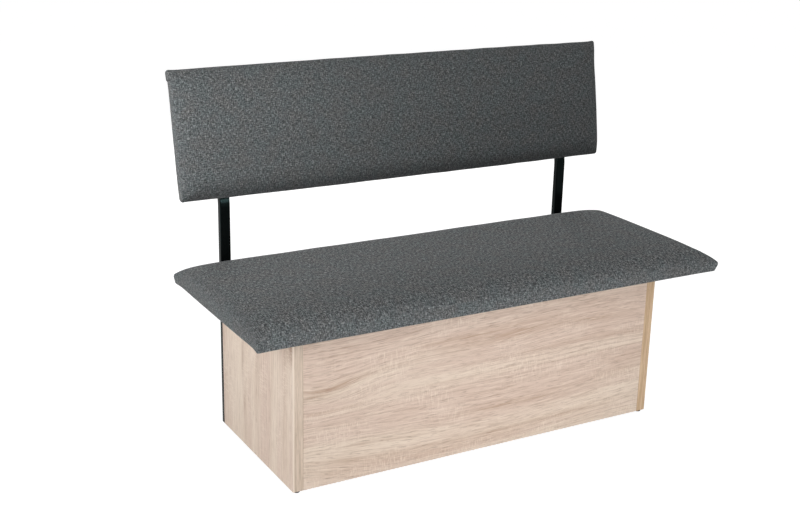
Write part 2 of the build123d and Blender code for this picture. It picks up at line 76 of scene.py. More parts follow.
# Wood colours
OAK_LIGHT = linear(228, 211, 194)
OAK_ROSE = linear(218, 196, 181)
OAK_DEEP = linear(190, 161, 141)
# Brown of the fixed marks; on the left side it is also the colour of painted shadow
OAK_BROWN_AND_SHADOW = linear(158, 122, 100)
OAK_LINE = linear(170, 139, 118)
OAK_PORE = linear(140, 110, 92)
OAK_PALE = linear(238, 222, 206)

# How far the grain moves sideways through a board's thickness, so that its edges show it too
EDGE_SLANT = 0.61

# Growth lines: how many in a metre of width, and how far they drift slowly and wobble quickly
GROWTH_LINES_PER_METRE = 74.0
GRAIN_DRIFT = 0.11
GRAIN_WOBBLE = 0.008

# Cover colours, and the distance between its yarns
YARN_DARK = linear(46, 48, 49)
YARN_SHADE = linear(70, 73, 74)
YARN_MIDDLE = linear(92, 95, 96)
YARN_LIGHT = linear(119, 122, 123)
YARN_FLECK = linear(158, 161, 160)
YARN_PITCH = 1.15 * MM

# Marks on the boards, in metres: place and size (along the grain, across it) and strength
FRONT_OVAL = (-0.42, 0.225, 0.13, 0.05)
OVAL_PUSH = 0.042
FRONT_MARKS = ((0.14, 0.05, 0.22, 0.009, 1.0), (0.07, 0.3, 0.18, 0.012, 0.8),
               (0.33, 0.29, 0.1, 0.012, 0.7), (0.41, 0.125, 0.1, 0.014, 0.7),
               (0.08, 0.115, 0.15, 0.007, 0.7), (-0.41, 0.2, 0.09, 0.006, 1.0),
               (-0.38, 0.285, 0.12, 0.008, 0.8), (-0.4, 0.03, 0.1, 0.01, 0.4))
FRONT_FIXED_MARKS = ((-0.44, 0.222, 0.035, 0.004, 0.6), (-0.4, 0.231, 0.04, 0.003, 0.4))
LEFT_MARKS = ((0.2, 0.02, 0.2, 0.012, 0.4), (0.25, -0.14, 0.2, 0.014, 0.5))
# The left side's fixed marks: the first two are painted shadow of the seat's front corner, just under its
# overhang, and the last is painted shade along the side's rear, by the left upright; the others are brown
# marks in the laminate.
LEFT_FIXED_MARKS_AND_SHADOWS = ((0.33, -0.155, 0.035, 0.04, 0.34), (0.345, -0.178, 0.04, 0.012, 0.8),
               (0.22, 0.09, 0.055, 0.006, 0.55), (0.11, 0.084, 0.04, 0.006, 0.35),
               (0.24, 0.003, 0.08, 0.013, 0.22), (0.2, 0.21, 0.5, 0.045, 0.2))
RIGHT_MARKS = ((0.2, 0.03, 0.22, 0.012, 0.7), (0.3, -0.1, 0.1, 0.006, 0.8))

# Cushions and staples
SIMULATION_FRAMES = 20
FOAM_PRESSURE = 4.0
COVER_STIFFNESS = 40.0
STAPLE_INSET = 6.0 * MM
STAPLE_HALF_LENGTH = 5.0 * MM
STAPLE_HALF_WIRE = 0.45 * MM
STAPLES_LONG = 22
STAPLES_WIDE = 7

# Room: how bright the world and the floor are, and the lamps' places, targets, sizes (width and
# height), powers and spreads in degrees
WORLD_LEVEL = 0.38
FLOOR_HALF_SIZE = 30.0
FLOOR_GLOW = 0.91
OPEN_LAMP = 180
LAMPS = {
    "key": ((-2.6, -2.3, 1.3), (0, 0, 0.25), (1.8, 1.8), 57.0, OPEN_LAMP),
    "side": ((-1.5, -1.0, 0.95), (-0.55, 0.2, 0.78), (0.4, 0.4), 1.4, 45),
    "glint": ((0.165, -1.47, 0.53), (-0.475, 0.21, 0.56), (0.09, 0.18), 2.0, OPEN_LAMP),
    "low": ((0.18, -0.85, 0.04), (0.14, -0.18, 0.15), (1.1, 0.06), 1.75, OPEN_LAMP),
    "left": ((-1.6, -0.2, 0.12), (-0.49, 0, 0.2), (0.6, 0.12), 2.6, OPEN_LAMP),
    "above": ((0.2, 0.5, 2.4), (0.1, 0, 0.43), (1.2, 1.2), 6.0, OPEN_LAMP),
    "behind": ((1.0, 2.8, 1.3), (0, 0.2, 0.35), (1.6, 1.2), 34.0, OPEN_LAMP),
}


# Node helpers

class Graph:
    """A material's node tree, with short calls for what the materials below use."""

    def __init__(self, name):
        self.material = bpy.data.materials.new(name)
        self.material.use_nodes = True
        self.tree = self.material.node_tree
        self.tree.nodes.clear()
        self.output = self.tree.nodes.new("ShaderNodeOutputMaterial")
        self.shader = self.tree.nodes.new("ShaderNodeBsdfPrincipled")
        self.tree.links.new(self.shader.outputs["BSDF"], self.output.inputs["Surface"])

    def node(self, kind, **settings):
        made = self.tree.nodes.new("ShaderNode" + kind)
        for name, value in settings.items():
            setattr(made, name, value)
        return made

    def set(self, socket, value):
        """Give a socket a value, or link it where the value is another socket."""
        if isinstance(value, bpy.types.NodeSocket):
            self.tree.links.new(value, socket)
        elif value is not None:
            socket.default_value = value

    def math(self, operation, first, second=None, third=None, clamp=False):
        made = self.node("Math", operation=operation, use_clamp=clamp)
        for socket, value in zip(made.inputs, (first, second, third)):
            self.set(socket, value)
        return made.outputs[0]

    def join(self, x=0.0, y=0.0, z=0.0):
        made = self.node("CombineXYZ")
        for socket, value in zip(made.inputs, (x, y, z)):
            self.set(socket, value)
        return made.outputs[0]

    def split(self, vector):
        made = self.node("SeparateXYZ")
        self.set(made.inputs[0], vector)
        return made.outputs

    def place(self):
        """The surface's place in the row frame, in metres."""
        return self.split(self.node("TexCoord").outputs["Object"])

    def noise(self, vector, scale=1.0, detail=2.0, roughness=0.5):
        made = self.node("TexNoise")
        self.set(made.inputs["Vector"], vector)
        for name, value in (("Scale", scale), ("Detail", detail), ("Roughness", roughness)):
            self.set(made.inputs[name], value)
        return made.outputs[0]

    def ramp(self, value, stops):
        """A colour ramp; a stop is a place and either a grey level or a colour."""
        made = self.node("ValToRGB")
        band = made.color_ramp
        while len(band.elements) < len(stops):
            band.elements.new(0.5)
        for element, (place, colour) in zip(band.elements, stops):
            element.position = place
            grey = isinstance(colour, (int, float))
            element.color = (colour, colour, colour, 1) if grey else (*colour, 1)
        self.set(made.inputs[0], value)
        return made.outputs[0]

    def mix(self, first, second, factor, blend="MIX"):
        made = self.node("Mix", data_type="RGBA", blend_type=blend)
        self.set(made.inputs[0], factor)
        for socket, value in ((made.inputs[6], first), (made.inputs[7], second)):
            if isinstance(value, tuple):
                value = (*value, 1)
            self.set(socket, value)
        return made.outputs[2]

    def spot(self, run, side, mark):
        """A soft round spot, 1 in its middle. The mark is its place and its size (run, side)."""
        run_place, side_place, run_size, side_size = mark
        away_run = self.math("DIVIDE", self.math("SUBTRACT", run, run_place), run_size)
        away_side = self.math("DIVIDE", self.math("SUBTRACT", side, side_place), side_size)
        square = self.math("MULTIPLY_ADD", away_side, away_side, self.math("MULTIPLY", away_run, away_run))
        return self.math("EXPONENT", self.math("MULTIPLY", square, -1.0))

    def either(self, choice, if_true, if_false):
        """One value where the choice is 1 and the other where it is 0."""
        return self.math("MULTIPLY_ADD", choice, self.math("SUBTRACT", if_true, if_false), if_false)

    def tint(self, colour, towards, layer, strength):
        """The colour, moved towards another where the layer is bright."""
        return self.mix(colour, towards, self.math("MULTIPLY", layer, strength))

    def bump(self, height, distance, strength):
        made = self.node("Bump")
        made.inputs["Distance"].default_value = distance
        made.inputs["Strength"].default_value = strength
        self.set(made.inputs["Height"], height)
        return made.outputs[0]

    def finish(self, colour, roughness, normal=None, **numbers):
        """Fill the shader. The numbers stay plain values on its own sockets."""
        self.set(self.shader.inputs["Base Color"], colour)
        self.set(self.shader.inputs["Roughness"], roughness)
        self.set(self.shader.inputs["Normal"], normal)
        for name, value in numbers.items():
            self.shader.inputs[name.replace("_", " ")].default_value = value
        return self.material


# Materials

class Grain:
    """Noise fields that run along a board's grain, and the bend of its growth lines."""

    def __init__(self, graph, along, across, seed):
        self.graph, self.seed = graph, seed
        place = graph.place()
        self.run = place[along]
        thickness = place[3 - along - across]
        self.side = graph.math("MULTIPLY_ADD", thickness, EDGE_SLANT, place[across])
        self.bent = self.side

    def field(self, run_scale, side_scale, offset, detail=2.0, roughness=0.5):
        """Noise that follows the growth lines. offset picks another part of the noise."""
        g = self.graph
        where = g.join(g.math("MULTIPLY", self.run, run_scale), self.seed + offset,
                       g.math("MULTIPLY", self.bent, side_scale))
        return g.noise(where, detail=detail, roughness=roughness)

    def layer(self, scales, stops):
        """A field whose values are spread by a ramp."""
        return self.graph.ramp(self.field(*scales), stops)

    def bend(self, ovals):
        """Let the growth lines drift and wobble, and bend round each oval."""
        g = self.graph
        drift = g.math("SUBTRACT", self.field(1.1, 5.0, 0.0, 1.5), 0.5)
        wobble = g.math("SUBTRACT", self.field(6.0, 34.0, 2.0, 2.0), 0.5)
        self.bent = g.math("ADD", g.math("MULTIPLY_ADD", drift, GRAIN_DRIFT, self.side),
                           g.math("MULTIPLY", wobble, GRAIN_WOBBLE))
        for oval in ovals:
            self.bent = g.math("MULTIPLY_ADD", g.spot(self.run, self.side, oval), OVAL_PUSH, self.bent)


def broad_figure(grain, streaks, fixed_marks_and_shadows, contrast):
    """The laminate's broad bands, brown marks, and fixed marks, which are brown marks or painted shadows."""
    g = grain.graph
    rose = grain.layer((0.8, 15.0, 3.0, 2.0), ((0.42, 0.0), (0.58, 1.0)))
    colour = g.mix(OAK_LIGHT, OAK_ROSE, rose)
    deep = grain.layer((1.2, 34.0, 7.0, 3.0, 0.6), ((0.54, 0.0), (0.7, 1.0)))
    colour = g.tint(colour, OAK_DEEP, deep, 0.5 * contrast)
    broken = grain.layer((5.0, 110.0, 41.0, 3.0, 0.65), ((0.0, 0.1), (0.4, 0.25), (0.56, 1.0)))
    for *mark, strength in streaks:
        streak = g.math("MULTIPLY", g.spot(grain.run, grain.bent, mark), broken)
        colour = g.mix(colour, OAK_DEEP, g.math("MULTIPLY", streak, strength, clamp=True))
    # Fixed marks: brown marks in the laminate, and painted shadow where a list gives it
    for *mark, strength in fixed_marks_and_shadows:
        colour = g.tint(colour, OAK_BROWN_AND_SHADOW, g.spot(grain.run, grain.side, mark), strength)
    return colour


def growth_lines(grain, colour, contrast):
    """Late wood: thin darker lines, strong in some places and faint in others."""
    g = grain.graph
    growth = g.math("FRACT", g.math("MULTIPLY", grain.bent, GROWTH_LINES_PER_METRE))
    late = g.ramp(growth, ((0.66, 0.0), (0.87, 0.7), (0.93, 1.0), (0.97, 0.0)))
    strong = grain.layer((2.2, 20.0, 11.0, 2.0), ((0.0, 0.0), (0.42, 0.05), (0.64, 1.0)))
    return g.tint(colour, OAK_LINE, g.math("MULTIPLY", late, strong), 0.5 * contrast)


def fine_figure(grain, colour, contrast):
    """Fine streaks, pores, fibres and cross saw marks. Returns the colour, the roughness and the height."""
    g = grain.graph
    dark = grain.layer((10.0, 330.0, 13.0, 3.0, 0.7), ((0.0, 1.0), (0.38, 0.7), (0.5, 0.0)))
    colour = g.tint(colour, OAK_LINE, dark, 0.4 * contrast)
    bright = grain.layer((12.0, 360.0, 17.0, 3.0, 0.7), ((0.52, 0.0), (0.64, 1.0)))
    colour = g.tint(colour, OAK_PALE, bright, 0.5)
    fibre = grain.field(26.0, 620.0, 19.0, 3.0, 0.65)
    pore = grain.layer((34.0, 760.0, 23.0, 1.0), ((0.34, 1.0), (0.4, 0.0)))
    colour = g.tint(colour, OAK_PORE, pore, 0.4 * contrast)
    colour = g.tint(colour, OAK_LINE, g.ramp(fibre, ((0.3, 1.0), (0.52, 0.0))), 0.16)
    sawn = grain.layer((6.0, 16.0, 29.0, 2.0), ((0.44, 0.0), (0.62, 1.0)))
    saw = grain.layer((430.0, 60.0, 31.0, 3.0, 0.65), ((0.5, 0.0), (0.64, 1.0)))
    colour = g.tint(colour, OAK_PALE, g.math("MULTIPLY", saw, sawn), 0.6)
    height = g.math("SUBTRACT", g.math("MULTIPLY", fibre, 0.7), g.math("MULTIPLY", pore, 0.8))
    height = g.math("MULTIPLY_ADD", saw, 0.3, height)
    return colour, g.math("MULTIPLY_ADD", fibre, 0.16, 0.44), height


def oak_laminate(name, along, across, seed, ovals=(), streaks=(), fixed_marks_and_shadows=(), contrast=1.0):
    """Light oak laminate with broad bands, growth lines, fibres, pores and faint cross saw marks.

    along and across are the row axes (0, 1 or 2) of the grain and of the board's width. Each oval is
    a place and a size (run, side) round which the growth lines bend. Each streak is a brown mark that
    follows the growth lines: its place, its size and its strength. A fixed mark is told in the same way,
    but is even and stays at its place; it is a brown mark in the laminate, or a painted shadow.
    """
    g = Graph(name)
    grain = Grain(g, along, across, seed)
    grain.bend(ovals)
    colour = broad_figure(grain, streaks, fixed_marks_and_shadows, contrast)
    colour = growth_lines(grain, colour, contrast)
    colour, rough, height = fine_figure(grain, colour, contrast)
    return g.finish(colour, rough, g.bump(height, 0.1 * MM, 0.6), Specular_IOR_Level=0.3)


def turned_upright(g, socket, tilt):
    """The parts of a place or a direction in the frame of a cushion that leans by this tilt."""
    turn = g.node("VectorRotate", rotation_type="X_AXIS")
    g.set(turn.inputs["Vector"], socket)
    turn.inputs["Angle"].default_value = -tilt
    return g.split(turn.outputs[0])


class Weave:
    """Places along the yarns of a cushion's cover, on the face that the yarns lie on.

    u and v run along and across a face. low is 1 on the front or lower edge, and up tells how far a
    place faces upwards in the cushion's own frame.
    """

    def __init__(self, graph, tilt, seed, stretch):
        g = graph
        self.graph, self.seed = g, seed
        coordinates = g.node("TexCoord")
        place = turned_upright(g, coordinates.outputs["Object"], tilt)
        facing = turned_upright(g, coordinates.outputs["Normal"], tilt)
        low = g.math("MULTIPLY", facing[1], -1.0, clamp=True)
        self.low = g.ramp(low, ((0.05, 0.0), (0.45, 1.0)))
        facing = [g.math("ABSOLUTE", part) for part in facing]
        self.up = facing[2]
        on_top = g.math("GREATER_THAN", self.up, 0.55)
        on_end = g.math("GREATER_THAN", facing[0], facing[1])
        on_end = g.math("MULTIPLY", on_end, g.math("SUBTRACT", 1.0, on_top))
        self.u = g.either(on_end, place[1], place[0])
        self.v = g.either(on_top, place[1], place[2])
        self.slow_v = g.math("MULTIPLY", self.v, g.math("MULTIPLY_ADD", on_top, 1 / stretch - 1, 1.0))

    def field(self, scale_u, scale_v, offset, detail=2.0, roughness=0.6):
        """Noise along the yarns. offset picks another part of the noise."""
        g = self.graph
        where = g.join(g.math("MULTIPLY", self.u, scale_u), g.math("MULTIPLY", self.slow_v, scale_v),
                       self.seed + offset)
        return g.noise(where, detail=detail, roughness=roughness)


def yarn_tone(weave, over, clump, contrasts):
    """How pale each yarn is: warp or weft, clumps of fibres and thicker slubs."""
    g = weave.graph
    yarn = g.either(over, weave.field(150.0, 760.0, 0.0), weave.field(760.0, 150.0, 4.0))
    tone = g.math("ADD", g.math("MULTIPLY", yarn, 0.16), g.math("MULTIPLY", clump, 0.24))
    for slub in (weave.field(120.0, 470.0, 9.0), weave.field(470.0, 120.0, 15.0)):
        tone = g.math("MULTIPLY_ADD", slub, 0.3, tone)
    flat = g.ramp(weave.up, ((0.88, 0.0), (0.985, 1.0)))
    contrast = g.math("MULTIPLY_ADD", flat, contrasts[0] - contrasts[1], contrasts[1])
    return g.math("MULTIPLY_ADD", g.math("SUBTRACT", tone, 0.5), contrast, 0.5)


def yarn_colour(weave, tone, levels):
    """The yarns' colours, with warm and cool patches, and painted light and shade that make them brighter or
    darker by face.
    """
    g = weave.graph
    colour = g.ramp(tone, ((0.0, YARN_DARK), (0.38, YARN_DARK), (0.46, YARN_SHADE), (0.51, YARN_MIDDLE),
                           (0.56, YARN_LIGHT), (0.65, YARN_FLECK), (1.0, YARN_FLECK)))
    patch = weave.field(24.0, 24.0, 11.0, 3.0)
    tint = g.ramp(patch, ((0.0, (0.93, 1.02, 1.03)), (0.4, (0.97, 1.01, 1.01)), (0.5, (1.0, 1.0, 1.0)),
                          (0.6, (1.03, 0.995, 0.98)), (1.0, (1.06, 0.99, 0.95))))
    colour = g.mix(colour, tint, 1.0, "MULTIPLY")
    # Painted light and shade: the yarns are made brighter or darker by which way the face turns, the front
    # or lower edge most of all.
    broad_painted_light, low_painted_light, edge_painted_light = levels
    broad = g.ramp(weave.up, ((0.3, 0.0), (0.9, 1.0)))
    painted_light_and_shade = g.either(weave.low, low_painted_light, g.either(broad, broad_painted_light, edge_painted_light))
    return g.mix(colour, painted_light_and_shade, 1.0, "MULTIPLY")


def woven_cover(name, tilt, seed, stretch, contrasts, levels):
    """Heathered weave of dark grey yarns with paler flecks and faint warm and cool patches.

    The yarns follow the face that they lie on, in the cushion's own frame. tilt is how far that is
    turned from lying flat. On the broad face the flecks are stretched across the cushion. contrasts
    are that of the broad face and that of the edges. levels are painted light and shade: how bright the
    yarns are made on the broad face, on the front or lower edge and on the other edges.
    """
    g = Graph(name)
    weave = Weave(g, tilt, seed, stretch)
    yarn_turns = math.pi / YARN_PITCH
    wave_u = g.math("SINE", g.math("MULTIPLY", weave.u, yarn_turns))
    wave_v = g.math("SINE", g.math("MULTIPLY", weave.v, yarn_turns))
    over = g.math("GREATER_THAN", g.math("MULTIPLY", wave_u, wave_v), 0.0)
    clump = weave.field(340.0, 340.0, 7.0, 2.0, 0.6)
    colour = yarn_colour(weave, yarn_tone(weave, over, clump, contrasts), levels)
    groove = g.either(over, g.math("ABSOLUTE", wave_u), g.math("ABSOLUTE", wave_v))
    colour = g.mix(colour, YARN_DARK, g.ramp(groove, ((0.0, 0.5), (0.35, 0.0))))
    height = g.math("ADD", groove, g.math("MULTIPLY", clump, 1.6))
    return g.finish(colour, 0.9, g.bump(height, 0.3 * MM, 0.75), Specular_IOR_Level=0.12,
                    Sheen_Weight=0.1, Sheen_Roughness=0.45)


def edge_banding(name, light, dark, seed, painted_highlight=0.0):
    """Narrow oak banding with upright grain; its outer corner may carry a painted highlight, a pale line."""
    g = Graph(name)
    place = g.place()
    streak_place = g.join(g.math("MULTIPLY", place[0], 330.0), g.math("MULTIPLY", place[1], 240.0),
                          g.math("MULTIPLY_ADD", place[2], 7.0, seed))
    streak = g.noise(streak_place, detail=3.0, roughness=0.65)
    dash_place = g.join(g.math("MULTIPLY", place[0], 900.0), seed, g.math("MULTIPLY", place[2], 45.0))
    dash = g.ramp(g.noise(dash_place, detail=2.0), ((0.36, 1.0), (0.44, 0.0)))
    patch = g.noise(g.join(seed, 0.0, g.math("MULTIPLY", place[2], 18.0)), detail=2.0)
    colour = g.mix(light, dark, g.ramp(streak, ((0.0, 0.0), (0.42, 0.05), (0.6, 0.85), (1.0, 1.0))))
    colour = g.mix(colour, dark, g.math("MULTIPLY", patch, 0.3))
    colour = g.mix(colour, tuple(0.6 * c for c in dark), g.math("MULTIPLY", dash, 0.35))
    # Painted highlight: a pale line along the banding's outer corner
    edge = g.math("SUBTRACT", BOX_HALF_WIDTH, g.math("ABSOLUTE", place[0]))
    corner = g.ramp(g.math("DIVIDE", edge, BANDING_WIDTH),
                    ((0.0, 1.0), (HIGHLIGHT_CORNER - 0.02, 1.0), (HIGHLIGHT_CORNER + 0.02, 0.0), (1.0, 0.0)))
    colour = g.mix(colour, OAK_PALE, g.math("MULTIPLY", corner, painted_highlight))
    return g.finish(colour, 0.4, g.bump(streak, 0.08 * MM, 0.5), Specular_IOR_Level=0.4)


def painted_steel(name):
    """Satin black powder coat with its fine orange-peel skin and faint dust."""
    g = Graph(name)
    place = g.node("TexCoord").outputs["Object"]
    peel = g.noise(place, scale=900.0, detail=2.0)
    dust = g.noise(place, scale=35.0, detail=4.0, roughness=0.65)
    colour = g.mix((0.0012, 0.0016, 0.0016), (0.004, 0.0048, 0.0048), dust)
    rough = g.math("MULTIPLY_ADD", dust, 0.1, 0.12)
    return g.finish(colour, rough, g.bump(peel, 0.03 * MM, 0.4), Specular_IOR_Level=0.05,
                    Specular_Tint=(0.55, 1.0, 1.0, 1.0))


def zinc_steel(name):
    """Zinc plating: pale grey with soft spangle."""
    g = Graph(name)
    place = g.node("TexCoord").outputs["Object"]
    spangle = g.noise(place, scale=260.0, detail=3.0)
    colour = g.mix((0.42, 0.43, 0.44), (0.62, 0.62, 0.6), spangle)
    rough = g.math("MULTIPLY_ADD", spangle, 0.2, 0.28)
    return g.finish(colour, rough, g.bump(spangle, 0.02 * MM, 0.5), Metallic=1.0)


def moulded_plastic(name, dark, light):
    """Matt moulded plastic with a fine eroded grain."""
    g = Graph(name)
    place = g.node("TexCoord").outputs["Object"]
    grain = g.noise(place, scale=1800.0, detail=2.0)
    scuff = g.noise(place, scale=120.0, detail=4.0, roughness=0.7)
    colour = g.mix(dark, light, scuff)
    rough = g.math("MULTIPLY_ADD", scuff, 0.2, 0.45)
    return g.finish(colour, rough, g.bump(grain, 0.05 * MM, 0.6))


def plain_wood(name, light, dark, along, seed):
    """Planed softwood or plywood face with straight grain."""
    g = Graph(name)
    place = g.place()
    scales = [190.0, 190.0, 190.0]
    scales[along] = 6.0
    streak = g.noise(g.join(*(g.math("MULTIPLY", p, s) for p, s in zip(place, scales))), detail=4.0,
                     roughness=0.6)
    patch = g.noise(g.join(*(g.math("MULTIPLY_ADD", p, 9.0, seed) for p in place)), detail=2.0)
    colour = g.mix(light, dark, g.ramp(streak, ((0.0, 0.0), (0.42, 0.1), (0.65, 0.8), (1.0, 1.0))))
    colour = g.mix(colour, dark, g.math("MULTIPLY", patch, 0.25))
    return g.finish(colour, 0.62, g.bump(streak, 0.15 * MM, 0.5), Specular_IOR_Level=0.3)


def spun_cloth(name):
    """Thin black spun-bonded cloth with its embossed dots and fibres."""
    g = Graph(name)
    place = g.node("TexCoord").outputs["Object"]
    fibre = g.noise(place, scale=700.0, detail=5.0, roughness=0.75)
    dots = g.node("TexVoronoi")
    g.set(dots.inputs["Vector"], place)
    dots.inputs["Scale"].default_value = 620.0
    dimple = g.ramp(dots.outputs["Distance"], ((0.0, 0.0), (0.35, 0.2), (0.55, 1.0)))
    colour = g.mix((0.012, 0.012, 0.013), (0.05, 0.05, 0.052), fibre)
    return g.finish(colour, 0.85, g.bump(g.math("ADD", dimple, fibre), 0.1 * MM, 0.6))


def foam(name):
    """Cream open-cell foam."""
    g = Graph(name)
    place = g.node("TexCoord").outputs["Object"]
    cells = g.node("TexVoronoi")
    g.set(cells.inputs["Vector"], place)
    cells.inputs["Scale"].default_value = 900.0
    colour = g.mix((0.75, 0.68, 0.45), (0.86, 0.8, 0.6), cells.outputs["Distance"])
    return g.finish(colour, 0.95, g.bump(cells.outputs["Distance"], 0.3 * MM, 0.8))


def moved_across(marks, face):
    """The marks of a face, shifted to where the slanted grain meets that face."""
    return tuple((run, side + EDGE_SLANT * face, *rest) for run, side, *rest in marks)


front_oak = oak_laminate("front_oak", 0, 2, 1.7, ovals=moved_across((FRONT_OVAL,), FRONT_FACE),
                         streaks=moved_across(FRONT_MARKS, FRONT_FACE),
                         fixed_marks_and_shadows=moved_across(FRONT_FIXED_MARKS, FRONT_FACE))
left_oak = oak_laminate("left_side_oak", 2, 1, 6.3, contrast=0.7,
                        streaks=moved_across(LEFT_MARKS, -BOX_HALF_WIDTH),
                        fixed_marks_and_shadows=moved_across(LEFT_FIXED_MARKS_AND_SHADOWS, -BOX_HALF_WIDTH))
right_oak = oak_laminate("right_side_oak", 2, 1, 12.1, contrast=0.7,
                         streaks=moved_across(RIGHT_MARKS, BOX_HALF_WIDTH))
back_oak = oak_laminate("back_oak", 0, 2, 21.4)
bottom_oak = oak_laminate("bottom_oak", 0, 1, 30.9)
left_band = edge_banding("left_banding", linear(226, 207, 190), linear(188, 168, 148), 2.0, painted_highlight=0.75)
right_band = edge_banding("right_banding", linear(221, 194, 162), linear(184, 152, 118), 8.0)
# levels paint light and shade by face: the seat's front edge is painted lighter, and the backrest is painted
# darker on its broad face, darkest along its lower edge and lighter on its other edges.
seat_weave = woven_cover("seat_weave", tilt=0.0, seed=2.0, stretch=1.3, contrasts=(1.8, 1.05),
                         levels=(1.03, 1.32, 1.0))
backrest_weave = woven_cover("backrest_weave", tilt=math.pi / 2 - BACKREST_TILT, seed=19.0, stretch=1.0,
                             contrasts=(1.15, 0.9), levels=(0.87, 0.45, 1.1))
black_steel = painted_steel("black_steel")
zinc = zinc_steel("zinc_steel")
black_plastic = moulded_plastic("black_plastic", (0.004, 0.004, 0.005), (0.012, 0.012, 0.013))
pad_rubber = moulded_plastic("pad_rubber", (0.03, 0.03, 0.03), (0.06, 0.06, 0.06))
batten_wood = plain_wood("batten_wood", linear(224, 194, 150), linear(190, 150, 104), 1, 3.0)
dowel_wood = plain_wood("dowel_wood", linear(222, 190, 146), linear(186, 148, 104), 0, 4.0)
plywood = plain_wood("plywood", linear(214, 182, 138), linear(178, 140, 98), 0, 5.0)
dust_cloth = spun_cloth("dust_cloth")
cream_foam = foam("cream_foam")

NODE_MATERIALS = {
    "left_side_panel": left_oak, "right_side_panel": right_oak, "front_panel": front_oak,
    "back_panel": back_oak, "bottom_panel": bottom_oak,
    "left_front_edge_band": left_band, "right_front_edge_band": right_band,
    "left_bottom_batten": batten_wood, "right_bottom_batten": batten_wood, "panel_dowels": dowel_wood,
    "seat_board": plywood, "backrest_board": plywood,
    "seat_foam": cream_foam, "backrest_foam": cream_foam,
    "seat_cover": seat_weave, "backrest_cover": backrest_weave,
    "seat_dust_sheet": dust_cloth, "backrest_dust_sheet": dust_cloth,
    "left_upright": black_steel, "right_upright": black_steel, "upright_end_caps": black_plastic,
    "floor_glides": black_plastic, "lid_pads": pad_rubber,
}


def dress_nodes():
    """Give every CAD node its material; what isn't listed is zinc-plated hardware."""
    for name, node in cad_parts.items():
        node.data.materials.clear()
        node.data.materials.append(NODE_MATERIALS.get(name, zinc))


# Cushions

# How far from a corner the wall grows to its full height, and how far inwards a pulled side reaches
CORNER_REACH = 70 * MM
PULL_REACH = 60 * MM


def rise(distance, reach, power):
    """Share of the full height that a padded edge has reached at this distance from it."""
    return 1 - np.exp(-((np.maximum(distance, 0) / reach) ** power))


class Pad:
    """The sizes of a cushion, in its own frame: x along, y across and z up from the board side.

    corner and edge are the heights of its upright wall, radius is its corners' rounding in plan and
    a reach tells how far inside the outline the upper face has risen by two thirds. A pull is how far
    a side is drawn in between the corners. ears tells, for each corner (its end and side, -1 or 1),
    how far the gathered cloth stands out there along and across the cushion, what share of that is
    left at the underside, and how far it reaches.
    """

    def __init__(self, length, width, corner, edge, crown, radius, side_pull, end_pull, side_reach,
                 end_reach, ears):
        self.length, self.width = length, width
        self.corner, self.edge, self.crown = corner, edge, crown
        self.radius, self.ears = radius, ears
        self.side_pull, self.end_pull = side_pull, end_pull
        self.side_reach, self.end_reach = side_reach, end_reach

    def wall_height(self, x, y):
        """Height of the upright wall, which is lower at the corners."""
        from_corner = np.maximum(self.length / 2 - np.abs(x), self.width / 2 - np.abs(y))
        return self.corner + (self.edge - self.corner) * rise(from_corner, CORNER_REACH, 1.4)

    def top_height(self, x, y):
        """Height of the upper face, which rises steeply behind the wall and then flattens."""
        side = rise(self.width / 2 - np.abs(y), self.side_reach, 0.87)
        end = rise(self.length / 2 - np.abs(x), self.end_reach, 0.68)
        wall = self.wall_height(x, y)
        return wall + (self.crown - wall) * side * end

    def draw_in(self, x, y, z):
        """Pull the long sides and the ends inwards between the corners, which stand out a little."""
        share_x = 1 - np.abs(2 * x / self.length) ** 3
        share_y = 1 - np.abs(2 * y / self.width) ** 3
        fade_y = np.exp(-(self.width / 2 - np.abs(y)) / PULL_REACH)
        fade_x = np.exp(-(self.length / 2 - np.abs(x)) / PULL_REACH)
        from_corner = np.hypot(self.length / 2 - np.abs(x), self.width / 2 - np.abs(y))
        up = np.clip(z / self.corner, 0, 1)
        out_x, out_y = np.zeros_like(x), np.zeros_like(x)
        for (end, side), (long, cross, below, reach) in self.ears.items():
            here = (x * end > 0) & (y * side > 0)
            share = (below + (1 - below) * up) * np.exp(-((from_corner / reach) ** 2))
            out_x = np.where(here, long * share, out_x)
            out_y = np.where(here, cross * share, out_y)
        return (x - np.sign(x) * (self.end_pull * share_y * fade_x - out_x),
                y - np.sign(y) * (self.side_pull * share_x * fade_y - out_y))


class Fineness:
    """How close together a cushion's points lie. Ring distances are millimetres from the outline."""

    def __init__(self, corner_step, middle_step, hem, wall, top):
        self.corner_step, self.middle_step = corner_step, middle_step
        self.hem, self.wall, self.top = hem, wall, top


# A wall ring is a share of the wall's height and a distance inside the outline
FINE = Fineness(1.6 * MM, 9.0 * MM, hem=(45.0, 25.0, 8.0, 3.0),
                wall=((0.0, 3.0), (0.05, 2.2), (0.18, 1.5), (0.36, 0.9), (0.54, 0.4), (0.7, 0.1),
                      (0.82, 0.0), (0.92, 0.4)),
                top=(1.3, 2.6, 4.4, 6.8, 9.2, 12.2, 16.0, 20.5, 26.0, 32.5, 40.0, 49.0, 60.0))
COARSE = Fineness(9.0 * MM, 16.0 * MM, hem=(45.0, 15.0), wall=((0.0, 3.0), (0.45, 0.6), (0.85, 0.0)),
                  top=(5.0, 12.0, 24.0, 40.0, 60.0))


def spread(length, fineness):
    """Shares from -1 to 1 along a side, close together near the corners."""
    close_zone = 26 * MM
    growth = 1.22
    places = [0.0]
    step = fineness.corner_step
    while places[-1] < length / 2 - step / 2:
        places.append(places[-1] + step)
        if places[-1] > close_zone:
            step = min(fineness.middle_step, step * growth)
    half = np.array(places) / places[-1]
    return np.concatenate((half - 1, (1 - half)[-2::-1]))


